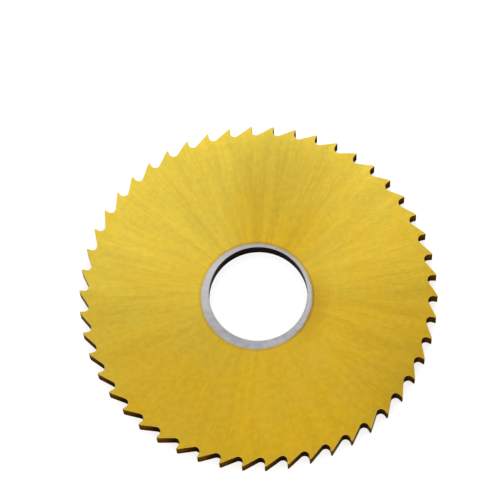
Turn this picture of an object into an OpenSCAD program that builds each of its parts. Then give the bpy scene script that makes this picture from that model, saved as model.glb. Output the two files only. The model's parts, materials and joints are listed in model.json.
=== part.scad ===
// Metal slitting saw: a thin ground disc with cutting teeth all round its rim,
// clamped between two collars on a milling arbor.
// The saw lies flat: the bore axis is Z, the lower rim face is at Z = 0, and one
// tooth tip points along +X. Seen from above, the tooth faces look clockwise.

/* [Blade] */
// Diameter over the tooth tips
outside_d = 80; // [64:0.5:125]
// Thickness of the blade at its toothed rim
rim_t = 4; // [1.6:0.1:6]

/* [Bore and hub] */
// Diameter of the arbor bore
bore_d = 22; // [13:0.5:32]
// Chamfer at each end of the bore
bore_chamfer = 0.1; // [0.05:0.05:0.4]
// Diameter of the flat seats that the arbor collars press on
hub_d = 34; // [27:0.5:48]

/* [Side clearance] */
// Depth of each collar seat below the rim face, which dishes the ground sides
side_dish = 0.1; // [0.02:0.01:0.25]
// Width of the flat rim land inside the gullets
rim_land = 0.8; // [0.2:0.1:3]

/* [Teeth] */
// Number of teeth
tooth_count = 50; // [32:1:64]
// Rake angle: how far the tooth face leans back from the radius, in degrees
rake_angle = 8; // [0:0.5:15]
// Width of the narrow land ground behind each tooth tip
tip_land = 0.35; // [0.15:0.05:0.6]
// Relief angle: how far the land falls away from the cutting circle, in degrees
relief_angle = 10; // [5:0.5:15]
// Depth of the gullets below the tooth tips
gullet_depth = 2.1; // [1.6:0.1:3]
// Radius of the round bottom of each gullet
gullet_r = 1.05; // [0.5:0.05:1.2]

/* [Hidden] */
$fn = 96;
// Metal outside the tooth tips that cutting the teeth takes off the blank
tooth_stock = 0.5;
// How far the round of a gullet bites into the tooth face and the back it ends on
gullet_bite = 0.005;

bore_r = bore_d / 2;
hub_r = hub_d / 2;
tip_r = outside_d / 2;
root_r = tip_r - gullet_depth;
land_r = root_r - rim_land;
blank_r = tip_r + tooth_stock;
mouth_r = bore_r + bore_chamfer;
seat_low = side_dish;
seat_high = rim_t - side_dish;

// One gullet, in front of the tooth whose tip is on +X
tooth_pitch = 360 / tooth_count;
tip = [tip_r, 0];
// The land ends at the heel of the tooth
heel = tip + tip_land * [-sin(relief_angle), cos(relief_angle)];
next_heel = turned(heel, -tooth_pitch);
// Down the tooth face from its tip, and square to the face into the gullet
face_dir = [-cos(rake_angle), sin(rake_angle)];
gap_dir = [-sin(rake_angle), -cos(rake_angle)];
// The gullet's centre is this far off the face and off the back of the next tooth
gullet_off = gullet_r - gullet_bite;
// Its round bottom touches the root circle
face_start = tip + gullet_off * gap_dir;
face_slope = face_start * face_dir;
centre_drop = face_start * face_start - (root_r + gullet_r) ^ 2;
face_len = -face_slope - sqrt(face_slope ^ 2 - centre_drop);
gullet_centre = face_start + face_len * face_dir;
face_foot = tip + face_len * face_dir;
// The straight back runs from the next heel down into the gullet's round bottom
back_run = next_heel - gullet_centre;
back_angle = atan2(back_run.y, back_run.x) - acos(gullet_off / norm(back_run));
back_foot = gullet_centre + turned([gullet_off, 0], back_angle);

// A point turned about the origin
function turned(p, a) = [
    p.x * cos(a) - p.y * sin(a),
    p.x * sin(a) + p.y * cos(a)
];

// Half section of the ground blank: bore, collar seats, dished sides and rim land
module blank_section() {
    polygon([
        [bore_r, seat_low + bore_chamfer],
        [mouth_r, seat_low],
        [hub_r, seat_low],
        [land_r, 0],
        [blank_r, 0],
        [blank_r, rim_t],
        [land_r, rim_t],
        [hub_r, seat_high],
        [mouth_r, seat_high],
        [bore_r, seat_high - bore_chamfer]
    ]);
}

// Outline of the rim: raked faces, narrow lands, straight backs and round gullets
module tooth_outline() {
    difference() {
        polygon([
            for (i = [0 : tooth_count - 1])
                for (p = [back_foot, gullet_centre, face_foot, tip, heel])
                    turned(p, i * tooth_pitch)
        ]);
        for (i = [0 : tooth_count - 1])
            rotate(i * tooth_pitch)
                translate(gullet_centre)
                    circle(gullet_r);
    }
}

// The saw: one piece of steel, its teeth cut through the rim of the ground blank
module saw_blade() {
    color([0.83, 0.69, 0.21])
        intersection() {
            rotate_extrude()
                blank_section();
            translate([0, 0, -rim_t / 2])
                linear_extrude(2 * rim_t)
                    tooth_outline();
        }
}

saw_blade();
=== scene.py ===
"""A gold-coated slitting saw lying on a white table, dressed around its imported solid."""

import json
import math

import bpy
import numpy as np
from bpy.props import FloatProperty, FloatVectorProperty, IntProperty, PointerProperty
from mathutils import Matrix, Vector


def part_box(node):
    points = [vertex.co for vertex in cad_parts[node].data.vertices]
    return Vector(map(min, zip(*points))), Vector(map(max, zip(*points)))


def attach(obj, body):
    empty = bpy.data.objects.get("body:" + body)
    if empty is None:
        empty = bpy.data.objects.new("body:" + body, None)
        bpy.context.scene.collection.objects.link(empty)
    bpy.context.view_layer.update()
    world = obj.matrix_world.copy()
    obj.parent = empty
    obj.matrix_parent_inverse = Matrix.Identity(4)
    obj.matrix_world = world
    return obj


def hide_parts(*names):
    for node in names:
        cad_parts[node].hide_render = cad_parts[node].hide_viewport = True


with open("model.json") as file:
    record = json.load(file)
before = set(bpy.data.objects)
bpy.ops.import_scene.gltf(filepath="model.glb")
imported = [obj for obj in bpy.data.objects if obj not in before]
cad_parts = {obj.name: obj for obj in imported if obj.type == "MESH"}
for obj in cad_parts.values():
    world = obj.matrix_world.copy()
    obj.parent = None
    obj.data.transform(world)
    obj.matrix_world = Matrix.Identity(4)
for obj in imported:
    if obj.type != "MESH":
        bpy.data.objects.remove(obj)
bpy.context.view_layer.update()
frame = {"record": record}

bl_info = {
    "name": "Slitting saw",
    "version": (1, 0, 0),
    "blender": (4, 5, 0),
    "location": "3D View > Sidebar > Saw",
    "description": "Builds a coated slitting saw and the table it lies on",
    "category": "Add Mesh",
}

MM = 0.001
SOLID = "saw_blade"
LOW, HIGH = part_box(SOLID)
BORE = next(m for m in frame["record"]["mounts"] if m["kind"] == "bore")
BORE_WALL = BORE["dims"]["length_mm"] * MM
DISH = 0.1 * MM

# Zones of the blade's surface, in the order of its material slots
FACE, EDGE, GULLET, LAND, BACK, BORE_SIDE = range(6)

# Points on the round of a gullet, up a tooth face and down a tooth's back
ARC_POINTS, FACE_POINTS, BACK_POINTS = 15, 5, 9
# Rows of points over a collar seat and over a dished side
SEAT_ROWS, SIDE_ROWS = 4, 7
# How far the way inwards may lengthen at a sharp corner of the outline
CORNER_LIMIT = 2.5
# Edges that turn by more than this are shaded sharp
SHARP_TURN = math.radians(15)

# Ways over the blade, seen from above, along which its finish and its painted sheen and shade
# change
FRONT = (-0.17, -0.985, 0.0)
FRONT_LEFT = (-0.26, -0.97, 0.0)
RIGHT = (0.93, -0.37, 0.0)
# Behind the bore: the bare ring is painted darker there as shade, and its fringe is stronger
BEHIND = (0.20, 0.98, 0.0)
BEHIND_RIGHT = (0.30, 0.954, 0.0)
# Side of the lamps, towards which the gold is painted paler as sheen
BEHIND_LEFT = (-0.22, 0.975, 0.0)

# Layers of grinding marks: setting of the contrast, fineness, run outwards in millimetres, start
GRINDING = (
    ("lines", 170.0, 6.0, 0.0),
    ("streaks", 60.0, 9.0, 0.0),
    ("bands", 20.0, 14.0, 0.0),
    # The broad fans are partly the coating's own uneven tone and partly painted sheen, the bright
    # and dark sectors of a radially ground face
    ("tone_and_sheen_fans", 6.0, 30.0, 650.5),
)
# Fineness of the single scratches, and their run outwards in millimetres
SCRATCH_FINENESS, SCRATCH_RUN = 115.0, 9.0
# Millimetres outside the root circle over which the painted shade deep in the gullets and on the
# backs fades out
GULLET_RISE, BACK_RISE = 1.0, 1.7

WHITE = (1.0, 1.0, 1.0, 1.0)
# Takes the height out of a place when multiplied with it
FLAT = (1.0, 1.0, 0.0)

# Side of the table in metres, and the cells along it
TABLE_SIDE, TABLE_CELLS = 6.0, 12
# Where the lamps stand: azimuth and elevation in degrees, distance and size in metres
LEFT_LAMP = (120.49, 63.29, 0.90, 0.60)
RIGHT_LAMP = (76.34, 37.79, 0.1918, 0.1384)

# Spacing of nodes in the node editor, and how many stand in a row
NODE_STEP_X, NODE_STEP_Y, NODES_IN_ROW = 190, 220, 8


def length(name, description, default, least=0.0):
    """A size in metres that a user may change."""
    return FloatProperty(
        name=name, description=description, default=default, min=least, precision=5,
        subtype="DISTANCE", unit="LENGTH",
    )


def colour(name, description, default):
    """A linear colour that a user may change."""
    return FloatVectorProperty(
        name=name, description=description, default=default, size=3,
        min=0.0, max=1.0, subtype="COLOR",
    )


def turn(name, description, degrees):
    """An angle that a user may change."""
    return FloatProperty(
        name=name, description=description, default=math.radians(degrees),
        subtype="ANGLE", unit="ROTATION",
    )


def share(name, description, default, most=1.0):
    """A plain number from nothing up that a user may change."""
    return FloatProperty(
        name=name, description=description, default=default, min=0.0, max=most, subtype="FACTOR",
    )


def power(name, description, default):
    """A lamp's power in watts that a user may change."""
    return FloatProperty(
        name=name, description=description, default=default, min=0.0, precision=4,
        subtype="POWER", unit="POWER",
    )


class BladeSizes(bpy.types.PropertyGroup):
    """Sizes of the blade, the same as the solid's, and the fine bevel that only the scene has."""

    outside_d: length("Outside diameter", "Diameter over the tooth tips", HIGH.x - LOW.x)
    rim_t: length("Rim thickness", "Thickness at the toothed rim", HIGH.z - LOW.z)
    bore_d: length("Bore", "Diameter of the arbor bore", 2 * BORE["dims"]["r_mm"] * MM)
    bore_chamfer: length(
        "Bore chamfer", "Chamfer at each end of the bore",
        (HIGH.z - LOW.z - BORE_WALL) / 2 - DISH,
    )
    hub_d: length("Hub", "Diameter of the flat collar seats", 34 * MM)
    side_dish: length("Side dish", "Depth of each collar seat below the rim face", DISH)
    rim_land: length("Rim land", "Width of the flat rim inside the gullets", 0.8 * MM)
    tooth_count: IntProperty(name="Teeth", description="Number of teeth", default=50, min=12)
    rake: turn("Rake", "How far the tooth face leans back from the radius", 8)
    tip_land: length("Tip land", "Width of the land ground behind each tip", 0.35 * MM)
    relief: turn("Relief", "How far the land falls away from the cutting circle", 10)
    gullet_depth: length("Gullet depth", "Depth of the gullets below the tips", 2.1 * MM)
    gullet_r: length("Gullet radius", "Radius of the gullet's round bottom", 1.05 * MM)
    edge_break: length("Edge break", "Width of the fine bevel along the toothed edges", 0.05 * MM)


class BladeFinish(bpy.types.PropertyGroup):
    """Colours and surface marks of the blade."""

    # Pale gold is painted sheen towards the back, and the coating's own tone in patches
    gold_pale: colour("Pale gold", "Coating where it is palest", (0.640, 0.470, 0.055))
    gold_warm: colour("Warm gold", "Coating where it is warmest", (0.723, 0.447, 0.022))
    # Pale edge gold: partly worn coating, partly a painted highlight
    wear_and_highlight_gold: colour("Wear and highlight gold", "Coating worn thin along the edges", (0.700, 0.560, 0.240))
    heated: colour("Heated gold", "Coating beside the ring on the right", (0.520, 0.280, 0.016))
    fringe: colour("Fringe", "Thin brown coating round the bare ring", (0.240, 0.130, 0.020))
    bare_steel: colour("Bare steel", "Ground steel with no coating", (0.530, 0.512, 0.515))
    blue_steel: colour("Blue steel", "Bare steel where it is bluest", (0.405, 0.405, 0.445))
    gullet: colour("Gullet", "Cut wall of a gullet and its tooth face", (0.215, 0.150, 0.045))
    back: colour("Back", "Cut wall of a tooth's back", (0.295, 0.200, 0.050))
    land: colour("Land", "Ground land behind a tooth tip", (0.230, 0.190, 0.065))
    # Darkest wall colour: painted shade low down and deep in the gullets, and the walls' own darker
    # tone in patches and lines
    shade_and_dark_tone: colour("Shade and dark tone", "Cut walls where they are darkest", (0.060, 0.035, 0.012))
    wall_glint: colour("Wall glint", "Cut walls seen along the surface", (0.170, 0.150, 0.060))
    bore_steel: colour("Bore wall", "Dark steel inside the bore", (0.030, 0.025, 0.024))
    bore_glint: colour("Bore glint", "Bore wall seen along the surface", (0.320, 0.310, 0.300))
    ring_d: length("Bare ring", "Diameter of the ring left bare round the bore", 24.89 * MM)
    ring_x: length("Ring offset X", "How far the ring lies off the bore", -0.40 * MM, least=-5 * MM)
    ring_y: length("Ring offset Y", "How far the ring lies off the bore", -0.60 * MM, least=-5 * MM)
    ring_waver: length("Ring waver", "How uneven the edge of the bare ring is", 0.15 * MM)
    lines: share("Lines", "Contrast of the finest grinding lines", 0.030)
    streaks: share("Streaks", "Contrast of the grinding streaks", 0.040)
    bands: share("Bands", "Contrast of the bands that streaks lie in", 0.06)
    # Painted sheen in part: the broad sectors stand in for the bright and dark fans that the lamps
    # make
    tone_and_sheen_fans: share("Fans", "Contrast of the broad sectors", 0.115)
    scratches: share("Scratches", "How dark the single scratches are", 0.06)
    calm: share("Calm", "Share of the marks that is left at the front", 0.45)
    blotch: share("Blotches", "Contrast of the small blotches in the coating", 0.08)
    mottle: share("Mottle", "How far the gold turns warm and pale in patches", 0.4)
    brushing: share("Brushing", "How far reflections spread across the grinding", 0.878)
    satin: share("Satin", "Roughness of the coated face", 0.25)


class StageLook(bpy.types.PropertyGroup):
    """The table, the light and the camera."""

    floor_colour: colour("Table", "Colour of the table", (0.70, 0.70, 0.70))
    room: share("Room", "Brightness of the white room all round", 1.0, most=4.0)
    shade: share("Shade", "Brightness of what the blade mirrors to the camera", 0.3, most=4.0)
    lift: share("Table lift", "White added to the table as the camera sees it", 0.68, most=4.0)
    left_lamp: power("Left lamp", "Power of the soft lamp behind on the left", 0.9627)
    right_lamp: power("Right lamp", "Power of the soft lamp behind on the right", 0.0952)
    azimuth: turn("Azimuth", "Camera's turn about the bore axis", -1.087)
    elevation: turn("Elevation", "Camera's height above the table", 70.54)
    roll: turn("Roll", "Camera's turn about its own view", -4.79)
    distance: length("Distance", "From the camera to what it looks at", 672.6 * MM)
    aim: FloatVectorProperty(
        name="Aim", description="Point in the blade's upper face that the camera looks at",
        default=(-0.799 * MM, 10.382 * MM, 4.0 * MM), size=3, precision=5,
        subtype="TRANSLATION", unit="LENGTH",
    )
    lens: FloatProperty(
        name="Lens", description="Focal length of the camera", default=216.07, min=1.0,
        subtype="DISTANCE_CAMERA", unit="CAMERA",
    )


def root_radius(sizes):
    """Radius of the circle that the bottoms of the gullets touch."""
    return sizes.outside_d / 2 - sizes.gullet_depth


def tooth_outline(sizes):
    """Outline of the rim as complex points x + iy, counter-clockwise, with a way inwards each.

    In front of a tip at R lies a gullet, an arc of radius p about c. c is p off the face, which
    leaves the tip at the rake angle, and R - depth + p off the axis. The arc runs from the foot
    of the back before it to the foot of the face. The face is a straight line up to the tip, the
    land one from the tip to the heel at the relief angle, and the back one from the heel to where
    it touches the next arc. One tooth is turned about the axis by whole pitches. Also gives each
    point's angle when the outline is spread evenly, and the zone of the wall after each point.
    """
    count, rho = sizes.tooth_count, sizes.gullet_r
    tip = sizes.outside_d / 2
    pitch = 2 * math.pi / count
    down_face = -np.exp(-1j * sizes.rake)
    into_gap = 1j * down_face
    start = tip + rho * into_gap
    along = (start * np.conj(down_face)).real
    drop = abs(start) ** 2 - (root_radius(sizes) + rho) ** 2
    centre = start + (-along - math.sqrt(along**2 - drop)) * down_face
    heel = tip + sizes.tip_land * 1j * np.exp(1j * sizes.relief)
    run = heel * np.exp(-1j * pitch) - centre
    back_turn = (np.angle(run) - math.acos(rho / abs(run))) % (2 * math.pi)
    face_turn = math.pi / 2 - sizes.rake
    arc = centre + rho * np.exp(1j * np.linspace(back_turn, face_turn, ARC_POINTS))
    face = np.linspace(arc[-1], tip, FACE_POINTS)[1:]
    back = np.linspace(heel, arc[0] * np.exp(1j * pitch), BACK_POINTS)[:-1]
    tooth = np.concatenate([arc, face, back])
    zones = np.repeat([GULLET, LAND, BACK], [len(arc) + len(face) - 1, 1, len(back)])
    rim = (np.exp(1j * pitch * np.arange(count))[:, None] * tooth).ravel()

    before, after = rim - np.roll(rim, 1), np.roll(rim, -1) - rim
    normals = 1j * before / abs(before) + 1j * after / abs(after)
    inwards = normals * np.minimum(2 / abs(normals) ** 2, CORNER_LIMIT)

    steps = abs(np.diff(np.append(tooth, tooth[0] * np.exp(1j * pitch))))
    walked = np.concatenate([[0], np.cumsum(steps)[:-1]])
    middle = ARC_POINTS // 2
    angle = np.angle(tooth[middle]) + pitch * (walked - walked[middle]) / steps.sum()
    angles = (pitch * np.arange(count)[:, None] + angle).ravel()
    return rim, inwards, angles, np.tile(zones, count)


def blade_grid(sizes):
    """The blade's skin as one grid, closed both ways, with the zone of each face.

    S(u, v): u runs once round the axis and v once round the half section, up the bore, out over
    the upper side, down the tooth walls and back under the lower side. On a turned row the point
    is r(v) at the angle of u, on a toothed row it is the outline at u, moved in by the edge
    break where the row is on a side. Each row has its own height z(v).
    """
    rim, inwards, angles, wall = tooth_outline(sizes)
    ray = np.exp(1j * angles)
    bore, hub, thick = sizes.bore_d / 2, sizes.hub_d / 2, sizes.rim_t
    chamfer, dish, fine = sizes.bore_chamfer, sizes.side_dish, sizes.edge_break
    root = root_radius(sizes)
    land = root - sizes.rim_land
    seat = np.linspace(bore + chamfer, hub, SEAT_ROWS)
    side = np.linspace(hub, land, SIDE_ROWS)[1:]
    # The last turned row lies flat on the rim land, just inside the gullets
    tops = np.concatenate([seat, side, [root - sizes.rim_land / 4]])
    drops = np.concatenate([np.full(SEAT_ROWS, dish), dish * (land - side) / (land - hub), [0.0]])

    def turned(radii, heights):
        return [(radius * ray, height) for radius, height in zip(radii, heights)]

    inset = rim + fine * inwards
    rows = (
        turned([bore, bore], [dish + chamfer, thick - dish - chamfer])
        + turned(tops, thick - drops)
        + [(inset, thick), (rim, thick - fine), (rim, thick / 2), (rim, fine), (inset, 0.0)]
        + turned(tops[::-1], drops[::-1])
    )
    sides = [FACE] * len(tops)
    zones = [BORE_SIDE, FACE] + sides + [EDGE, wall, wall, EDGE] + sides + [FACE]
    zones = np.stack([np.broadcast_to(zone, rim.shape) for zone in zones])
    plan = np.stack([row for row, _ in rows])
    heights = np.broadcast_to(np.array([height for _, height in rows])[:, None], plan.shape)
    return np.stack([plan.real, plan.imag, heights], axis=-1), zones


def closed_grid_mesh(name, grid, zones, materials):
    """A mesh of quads over a grid of points that closes on itself both ways."""
    rows, columns = grid.shape[:2]
    v, u = np.meshgrid(np.arange(rows), np.arange(columns), indexing="ij")
    up, along = (v + 1) % rows, (u + 1) % columns
    corners = ((v, u), (up, u), (up, along), (v, along))
    quads = np.stack([row * columns + column for row, column in corners], axis=-1)
    mesh = bpy.data.meshes.new(name)
    mesh.from_pydata(grid.reshape(-1, 3), [], quads.reshape(-1, 4).tolist())
    for material in materials:
        mesh.materials.append(material)
    mesh.polygons.foreach_set("material_index", zones.ravel().astype(np.int32))
    mesh.shade_smooth()
    mesh.set_sharp_from_angle(angle=SHARP_TURN)
    mesh.update()
    if mesh.validate():
        raise RuntimeError("the blade's grid made faces that are not sound")
    return mesh


def add_node(tree, kind, inputs=None, **settings):
    """Adds a node, sets its options, then links or sets the inputs given by name or number."""
    node = tree.nodes.new(kind)
    row, column = divmod(len(tree.nodes), NODES_IN_ROW)
    node.location = (NODE_STEP_X * column, -NODE_STEP_Y * row)
    for name, value in settings.items():
        setattr(node, name, value)
    for key, value in (inputs or {}).items():
        if isinstance(value, bpy.types.NodeSocket):
            tree.links.new(value, node.inputs[key])
        else:
            node.inputs[key].default_value = value
    return node


def maths(tree, operation, *values, clamp=False):
    """A sum on numbers."""
    inputs = dict(enumerate(values))
    node = add_node(tree, "ShaderNodeMath", inputs, operation=operation, use_clamp=clamp)
    return node.outputs[0]


def vectors(tree, operation, a, b=(0.0, 0.0, 0.0)):
    """A sum on vectors or colours."""
    return add_node(tree, "ShaderNodeVectorMath", {0: a, 1: b}, operation=operation).outputs[0]


def scaled(tree, vector, factor):
    """A vector or colour made longer or brighter by a factor."""
    inputs = {0: vector, "Scale": factor}
    return add_node(tree, "ShaderNodeVectorMath", inputs, operation="SCALE").outputs[0]


def measure(tree, operation, a, b=(0.0, 0.0, 0.0)):
    """A number taken from vectors, such as a length or a dot product."""
    node = add_node(tree, "ShaderNodeVectorMath", {0: a, 1: b}, operation=operation)
    return node.outputs["Value"]


def ramp(tree, value, start=0.0, end=1.0, low=0.0, high=1.0):
    """A smooth change from low at start to high at end."""
    inputs = {"Value": value, 1: start, 2: end, 3: low, 4: high}
    return add_node(tree, "ShaderNodeMapRange", inputs, interpolation_type="SMOOTHSTEP").outputs[0]


def blend(tree, factor, a, b):
    """Colour a changed into colour b by a factor."""
    a, b = (x if isinstance(x, bpy.types.NodeSocket) else (*x, 1.0) for x in (a, b))
    # The node has sockets for numbers and vectors too: these are the ones for colours
    return add_node(tree, "ShaderNodeMix", {0: factor, 6: a, 7: b}, data_type="RGBA").outputs[2]


def node_group(name, inputs, outputs):
    """An empty shader group with its sockets, and its two end nodes."""
    group = bpy.data.node_groups.new(name, "ShaderNodeTree")
    for way, sockets in (("INPUT", inputs), ("OUTPUT", outputs)):
        for socket, kind in sockets:
            group.interface.new_socket(name=socket, in_out=way, socket_type="NodeSocket" + kind)
    return group, group.nodes.new("NodeGroupInput"), group.nodes.new("NodeGroupOutput")


def place_group():
    """Where a point lies on the blade: in millimetres, how far from the axis and which way."""
    group, given, result = node_group(
        "Blade place",
        [("Object", "Vector")],
        [("Place", "Vector"), ("Radius", "Float"), ("Ray", "Vector")],
    )
    place = vectors(group, "MULTIPLY", given.outputs["Object"], (1 / MM, 1 / MM, 1 / MM))
    flat = vectors(group, "MULTIPLY", place, FLAT)
    group.links.new(place, result.inputs["Place"])
    group.links.new(measure(group, "LENGTH", flat), result.inputs["Radius"])
    group.links.new(vectors(group, "NORMALIZE", flat), result.inputs["Ray"])
    return group


def marks_group():
    """Marks from noise, fine across one direction and as long as wanted along another.

    The noise is read at Across times Fineness, with Along added on the Z axis, and its middle
    values are spread to run from 0 to 1.
    """
    group, given, result = node_group(
        "Grinding marks",
        [("Across", "Vector"), ("Fineness", "Float"), ("Along", "Float"), ("Detail", "Float")],
        [("Marks", "Float")],
    )
    across = scaled(group, given.outputs["Across"], given.outputs["Fineness"])
    lift = add_node(group, "ShaderNodeCombineXYZ", {"Z": given.outputs["Along"]}).outputs[0]
    inputs = {
        "Vector": vectors(group, "ADD", across, lift),
        "Scale": 1.0,
        "Detail": given.outputs["Detail"],
        "Roughness": 0.6,
    }
    noise = add_node(group, "ShaderNodeTexNoise", inputs, noise_dimensions="3D").outputs[0]
    group.links.new(ramp(group, noise, start=0.25, end=0.75), result.inputs["Marks"])
    return group


def new_material(name, groups):
    """A metal with its Principled shader, the Blade place group and a way to add marks."""
    material = bpy.data.materials.new(name)
    material.use_nodes = True
    tree = material.node_tree
    shader = tree.nodes["Principled BSDF"]
    shader.inputs["Metallic"].default_value = 1.0
    inputs = {"Object": add_node(tree, "ShaderNodeTexCoord").outputs["Object"]}
    place = add_node(tree, "ShaderNodeGroup", inputs, node_tree=groups["place"]).outputs

    def marks(across, fineness, along=0.0, detail=2.0):
        inputs = {"Across": across, "Fineness": fineness, "Along": along, "Detail": detail}
        return add_node(tree, "ShaderNodeGroup", inputs, node_tree=groups["marks"]).outputs["Marks"]

    return material, tree, shader, place, marks


def add_bump(tree, shader, height, strength, depth):
    """Lets a height that varies over the surface tilt its normals."""
    inputs = {"Height": height, "Strength": strength, "Distance": depth}
    bump = add_node(tree, "ShaderNodeBump", inputs)
    tree.links.new(bump.outputs["Normal"], shader.inputs["Normal"])


def ground_shade(tree, place, marks, finish):
    """How light the ground face is, about 1, with marks that run out from the bore.

    The layers, from fine lines to broad sectors, each make it lighter and darker; the broad
    sectors are partly painted sheen. They and the single dark scratches are calmer at the front.
    Small blotches lie over them.
    """
    ray, radius = place["Ray"], place["Radius"]
    shade = -sum(getattr(finish, contrast) for contrast, *_ in GRINDING) / 2
    for contrast, fineness, run, start in GRINDING:
        layer = marks(ray, fineness, maths(tree, "MULTIPLY_ADD", radius, 1 / run, start))
        shade = maths(tree, "MULTIPLY_ADD", layer, getattr(finish, contrast), shade)
    front = measure(tree, "DOT_PRODUCT", ray, FRONT)
    calm = ramp(tree, front, end=0.85, low=1.0, high=finish.calm)
    shade = maths(tree, "MULTIPLY_ADD", shade, calm, 1.0)
    blotch = maths(tree, "SUBTRACT", marks(place["Place"], fineness=0.8), 0.5)
    shade = maths(tree, "MULTIPLY_ADD", blotch, finish.blotch, shade)
    scratch = marks(ray, SCRATCH_FINENESS, maths(tree, "DIVIDE", radius, SCRATCH_RUN), detail=0.0)
    scratch = maths(tree, "MULTIPLY", ramp(tree, scratch, start=0.86, end=0.98), calm)
    return maths(tree, "MULTIPLY_ADD", scratch, -finish.scratches, shade)


def gold_colour(tree, place, marks, finish):
    """The coating's gold before the marks, blended from warm to pale by a tone from 0 to 1.

    The tone rises from the front of the blade to the back, a painted sheen on the side of the
    lamps, and wanders in patches of the coating's own tone. It falls again close to the bore,
    behind it on the right.
    """
    # Painted sheen: the gold turns paler towards the back on the left, the side of the lamps
    lean = measure(tree, "DOT_PRODUCT", place["Place"], BEHIND_LEFT)
    rise = ramp(tree, lean, start=-44.0, end=40.0)
    patch = marks(place["Place"], fineness=0.12, along=2.0, detail=3.0)
    tone = maths(tree, "MULTIPLY_ADD", patch, finish.mottle, rise)
    corner = measure(tree, "DOT_PRODUCT", place["Ray"], BEHIND_RIGHT)
    corner = ramp(tree, corner, start=0.75, end=0.98)
    near = ramp(tree, place["Radius"], start=32.0, end=14.0, high=0.5)
    tone = maths(tree, "SUBTRACT", tone, maths(tree, "MULTIPLY", near, corner))
    tone = maths(tree, "SUBTRACT", tone, finish.mottle / 2, clamp=True)
    return blend(tree, tone, finish.gold_warm, finish.gold_pale)


def beyond_ring(tree, place, marks, finish):
    """Millimetres outside the bare ring, a circle a little off the bore with an uneven edge."""
    middle = (finish.ring_x / MM, finish.ring_y / MM, 0.0)
    off = vectors(tree, "SUBTRACT", place["Place"], middle)
    reach = measure(tree, "LENGTH", vectors(tree, "MULTIPLY", off, FLAT))
    uneven = marks(place["Place"], fineness=0.9)
    reach = maths(tree, "MULTIPLY_ADD", uneven, finish.ring_waver / MM, reach)
    return maths(tree, "SUBTRACT", reach, finish.ring_d / 2 / MM)


def heated_gold(tree, gold, place, beyond, behind, finish):
    """Gold that turns orange towards the bare ring on the right, with a brown fringe all round it.

    The fringe is strongest on the right, and a little stronger behind the bore than in front.
    """
    more_behind = 0.20
    right = measure(tree, "DOT_PRODUCT", place["Ray"], RIGHT)
    heat = ramp(tree, beyond, start=6.0, end=0.0, high=0.60)
    heat = maths(tree, "MULTIPLY", heat, ramp(tree, right, start=0.7))
    gold = blend(tree, heat, gold, finish.heated)
    most = ramp(tree, right, start=0.6, low=0.35, high=0.85)
    most = maths(tree, "MULTIPLY_ADD", behind, more_behind, most)
    brown = maths(tree, "MULTIPLY", ramp(tree, beyond, start=0.80, end=0.05), most)
    return blend(tree, brown, gold, finish.fringe)


def ring_steel(tree, place, marks, shade, behind, finish):
    """Bare ground steel, blue in clouds at the front, with faint marks.

    Behind the bore it is painted darker as shade.
    """
    marks_kept, painted_shade = 0.3, 0.11
    cloud = marks(place["Place"], fineness=0.55, detail=3.0)
    front = measure(tree, "DOT_PRODUCT", place["Ray"], FRONT_LEFT)
    blue = maths(tree, "MULTIPLY", cloud, ramp(tree, front, start=-0.4, low=0.1, high=1.3))
    steel = blend(tree, blue, finish.bare_steel, finish.blue_steel)
    light = maths(tree, "MULTIPLY_ADD", shade, marks_kept, 1.0 - marks_kept)
    # Painted shade: the steel is darker behind the bore
    return scaled(tree, steel, maths(tree, "MULTIPLY_ADD", behind, -painted_shade, light))


def coated_face(finish, groups):
    """Satin gold coating over radial grinding, with a bare steel ring round the bore.

    The coating fades in over the ring's edge. Darker marks are a little rougher, and all of them
    tilt the surface.
    """
    material, tree, shader, place, marks = new_material("Coated face", groups)
    roughening = 0.10
    shade = ground_shade(tree, place, marks, finish)
    beyond = beyond_ring(tree, place, marks, finish)
    # Behind the bore: painted shade on the bare ring, and a stronger fringe
    behind = ramp(tree, measure(tree, "DOT_PRODUCT", place["Ray"], BEHIND), start=0.3, end=0.9)
    gold = scaled(tree, gold_colour(tree, place, marks, finish), shade)
    gold = heated_gold(tree, gold, place, beyond, behind, finish)
    steel = ring_steel(tree, place, marks, shade, behind, finish)
    coated = ramp(tree, beyond, start=-0.34, end=0.36)
    tree.links.new(blend(tree, coated, steel, gold), shader.inputs["Base Color"])
    rough = maths(tree, "MULTIPLY_ADD", shade, -roughening, finish.satin + roughening)
    tree.links.new(rough, shader.inputs["Roughness"])
    shader.inputs["Anisotropic"].default_value = finish.brushing
    add_bump(tree, shader, shade, strength=0.1, depth=0.02 * MM)
    return material


def wear_and_highlight_edge(finish, groups):
    """The fine bevel along the toothed edges, pale in patches: partly worn coating, partly a
    painted highlight along the edges.
    """
    material, tree, shader, place, marks = new_material("Wear and highlight edge", groups)
    patch = marks(place["Place"], fineness=1.1)
    # Painted highlight as well as wear: the pale gold lights the edges up
    worn = blend(tree, patch, finish.gold_warm, finish.wear_and_highlight_gold)
    tree.links.new(worn, shader.inputs["Base Color"])
    tree.links.new(ramp(tree, patch, low=0.30, high=0.42), shader.inputs["Roughness"])
    return material


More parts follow.
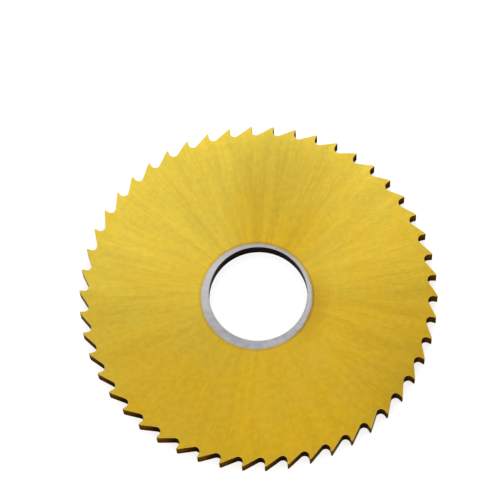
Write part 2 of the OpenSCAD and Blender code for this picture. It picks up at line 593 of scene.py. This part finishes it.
def cut_wall(name, metal, root, rise, finish, groups):
    """A cut wall of the teeth: brown metal with lines along Z, darker low down and at the root.

    How much of the metal shows over the darkest colour is a product of four shares. The first two
    are painted shade: they darken the wall low down and, over a rise outside the root circle, deep
    in the gullet. The other two change with patches and with the lines, the wall's own tone.
    """
    material, tree, shader, place, marks = new_material(name, groups)
    squash = (1.0, 1.0, 0.06)
    height = add_node(tree, "ShaderNodeSeparateXYZ", {0: place["Place"]}).outputs["Z"]
    lines = marks(vectors(tree, "MULTIPLY", place["Place"], squash), fineness=5.0)
    patch = marks(place["Place"], fineness=0.6)
    # Painted shade: darker low down on the wall and deep in the gullet near the root circle
    shown = ramp(tree, height, start=0.8, end=3.2, low=0.68)
    for other in (
        ramp(tree, place["Radius"], start=root, end=root + rise, low=0.35),
        ramp(tree, patch, low=0.88),
        ramp(tree, lines, low=1.0, high=0.88),
    ):
        shown = maths(tree, "MULTIPLY", shown, other)
    tree.links.new(blend(tree, shown, finish.shade_and_dark_tone, metal), shader.inputs["Base Color"])
    tree.links.new(ramp(tree, lines, low=0.26, high=0.36), shader.inputs["Roughness"])
    shader.inputs["Specular Tint"].default_value = (*finish.wall_glint, 1.0)
    add_bump(tree, shader, lines, strength=0.2, depth=0.01 * MM)
    return material


def bore_wall(finish, groups):
    """Bare dark steel with fine turning lines round the bore."""
    material, tree, shader, place, marks = new_material("Bore wall", groups)
    lines_per_mm, darkest = 7.0, 0.6
    height = add_node(tree, "ShaderNodeSeparateXYZ", {0: place["Place"]}).outputs["Z"]
    lines = marks(place["Ray"], fineness=1.5, along=maths(tree, "MULTIPLY", height, lines_per_mm))
    steel = scaled(tree, tuple(finish.bore_steel), maths(tree, "ADD", darkest, lines))
    tree.links.new(steel, shader.inputs["Base Color"])
    tree.links.new(ramp(tree, lines, low=0.32, high=0.45), shader.inputs["Roughness"])
    shader.inputs["Specular Tint"].default_value = (*finish.bore_glint, 1.0)
    add_bump(tree, shader, lines, strength=0.2, depth=0.01 * MM)
    return material


def blade_materials(sizes, finish):
    """The blade's materials, in the order of its zones."""
    groups = {"place": place_group(), "marks": marks_group()}
    root = root_radius(sizes) / MM
    return (
        coated_face(finish, groups),
        wear_and_highlight_edge(finish, groups),
        cut_wall("Gullet wall", finish.gullet, root, GULLET_RISE, finish, groups),
        cut_wall("Tip land", finish.land, root, GULLET_RISE, finish, groups),
        cut_wall("Tooth back", finish.back, root, BACK_RISE, finish, groups),
        bore_wall(finish, groups),
    )


class SAW_OT_cut_blade(bpy.types.Operator):
    """Builds the saw blade with its teeth and finish"""

    bl_idname = "saw.cut_blade"
    bl_label = "Cut the blade"

    def execute(self, context):
        scene = context.scene
        materials = blade_materials(scene.blade_sizes, scene.blade_finish)
        grid, zones = blade_grid(scene.blade_sizes)
        blade = bpy.data.objects.new("blade", closed_grid_mesh("blade", grid, zones, materials))
        scene.collection.objects.link(blade)
        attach(blade, "root")
        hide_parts(SOLID)
        return {"FINISHED"}


def table_material(look):
    """A matt white table, lifted to white where it is seen straight, in metal or through glass."""
    material = bpy.data.materials.new("Table")
    material.use_nodes = True
    tree = material.node_tree
    shader = tree.nodes["Principled BSDF"]
    shader.inputs["Base Color"].default_value = (*look.floor_colour, 1.0)
    shader.inputs["Roughness"].default_value = 0.9
    shader.inputs["Specular IOR Level"].default_value = 0.0
    path = add_node(tree, "ShaderNodeLightPath").outputs
    seen = maths(tree, "ADD", path["Is Camera Ray"], path["Is Glossy Ray"])
    seen = maths(tree, "ADD", seen, path["Is Transmission Ray"], clamp=True)
    shader.inputs["Emission Color"].default_value = WHITE
    tree.links.new(maths(tree, "MULTIPLY", seen, look.lift), shader.inputs["Emission Strength"])
    return material


def table_mesh(look):
    """The table top: z = 0 over an even square grid in x and y."""
    line = np.linspace(-TABLE_SIDE / 2, TABLE_SIDE / 2, TABLE_CELLS + 1)
    x, y = np.meshgrid(line, line)
    points = np.stack([x, y, np.zeros_like(x)], axis=-1).reshape(-1, 3)
    cells = np.arange(TABLE_CELLS)
    first = (cells[:, None] * len(line) + cells).ravel()
    quads = np.stack([first, first + 1, first + len(line) + 1, first + len(line)], axis=-1)
    mesh = bpy.data.meshes.new("table")
    mesh.from_pydata(points, [], quads.tolist())
    mesh.materials.append(table_material(look))
    return mesh


def white_room(look, back):
    """A white world, less bright in a soft cone round what the blade mirrors to the camera."""
    world = bpy.data.worlds.new("White room")
    world.use_nodes = True
    tree = world.node_tree
    way = add_node(tree, "ShaderNodeTexCoord").outputs["Generated"]
    # Cosine of the angle off the cone's axis: the cone starts at 60 degrees and is full at 35
    inside = measure(tree, "DOT_PRODUCT", way, (-back.x, -back.y, back.z))
    strength = ramp(tree, inside, start=0.5, end=0.82, low=look.room, high=look.shade)
    sky = tree.nodes["Background"]
    sky.inputs["Color"].default_value = WHITE
    tree.links.new(strength, sky.inputs["Strength"])
    return world


def aimed(back, right):
    """A turn whose Z axis is back and whose X axis is right."""
    return Matrix((right, back.cross(right), back)).transposed().to_4x4()


def soft_lamp(name, watts, azimuth, elevation, distance, size):
    """A square soft lamp that looks at the middle of the blade and is itself not seen."""
    lamp = bpy.data.lights.new(name, "AREA")
    lamp.energy, lamp.size = watts, size
    a, e = math.radians(azimuth), math.radians(elevation)
    back = Vector((math.cos(a) * math.cos(e), math.sin(a) * math.cos(e), math.sin(e)))
    right = Vector((-math.sin(a), math.cos(a), 0.0))
    holder = bpy.data.objects.new(name, lamp)
    holder.matrix_world = Matrix.Translation(back * distance) @ aimed(back, right)
    holder.visible_camera = False
    return holder


def aimed_camera(look, back):
    """The camera, which stands off its aim in the direction of back and is rolled a little."""
    level = Vector((math.cos(look.azimuth), math.sin(look.azimuth), 0.0))
    right = math.cos(look.roll) * level + math.sin(look.roll) * back.cross(level)
    camera = bpy.data.objects.new("camera", bpy.data.cameras.new("camera"))
    camera.data.lens = look.lens
    camera.data.clip_start = 10 * MM
    eye = Vector(look.aim) + back * look.distance
    camera.matrix_world = Matrix.Translation(eye) @ aimed(back, right)
    return camera


class SAW_OT_set_stage(bpy.types.Operator):
    """Lays the table, sets the lamps and aims the camera"""

    bl_idname = "saw.set_stage"
    bl_label = "Set the stage"

    def execute(self, context):
        scene, look = context.scene, context.scene.stage_look
        table = bpy.data.objects.new("table", table_mesh(look))
        scene.collection.objects.link(table)

        a, e = look.azimuth, look.elevation
        back = Vector((math.sin(a) * math.cos(e), -math.cos(a) * math.cos(e), math.sin(e)))
        scene.world = white_room(look, back)
        scene.collection.objects.link(soft_lamp("left lamp", look.left_lamp, *LEFT_LAMP))
        scene.collection.objects.link(soft_lamp("right lamp", look.right_lamp, *RIGHT_LAMP))
        camera = aimed_camera(look, back)
        scene.collection.objects.link(camera)
        scene.camera = camera
        scene.view_settings.view_transform = "Standard"
        return {"FINISHED"}


class SAW_PT_panel(bpy.types.Panel):
    """The saw's steps and sizes in the sidebar"""

    bl_label = "Slitting saw"
    bl_idname = "SAW_PT_panel"
    bl_space_type = "VIEW_3D"
    bl_region_type = "UI"
    bl_category = "Saw"

    def draw(self, context):
        scene, column = context.scene, self.layout.column()
        for group in (scene.blade_sizes, scene.blade_finish):
            for name in group.__annotations__:
                column.prop(group, name)
        column.operator(SAW_OT_cut_blade.bl_idname)
        for name in scene.stage_look.__annotations__:
            column.prop(scene.stage_look, name)
        column.operator(SAW_OT_set_stage.bl_idname)


CLASSES = (BladeSizes, BladeFinish, StageLook, SAW_OT_cut_blade, SAW_OT_set_stage, SAW_PT_panel)


def register():
    """Adds the classes to Blender and their settings to each scene."""
    for cls in CLASSES:
        bpy.utils.register_class(cls)
    bpy.types.Scene.blade_sizes = PointerProperty(type=BladeSizes)
    bpy.types.Scene.blade_finish = PointerProperty(type=BladeFinish)
    bpy.types.Scene.stage_look = PointerProperty(type=StageLook)


def unregister():
    """Takes the settings and the classes out again."""
    del bpy.types.Scene.stage_look, bpy.types.Scene.blade_finish, bpy.types.Scene.blade_sizes
    for cls in reversed(CLASSES):
        bpy.utils.unregister_class(cls)


def main():
    """Builds the saw and its stage."""
    register()
    bpy.ops.saw.cut_blade()
    bpy.ops.saw.set_stage()


if __name__ == "__main__":
    main()
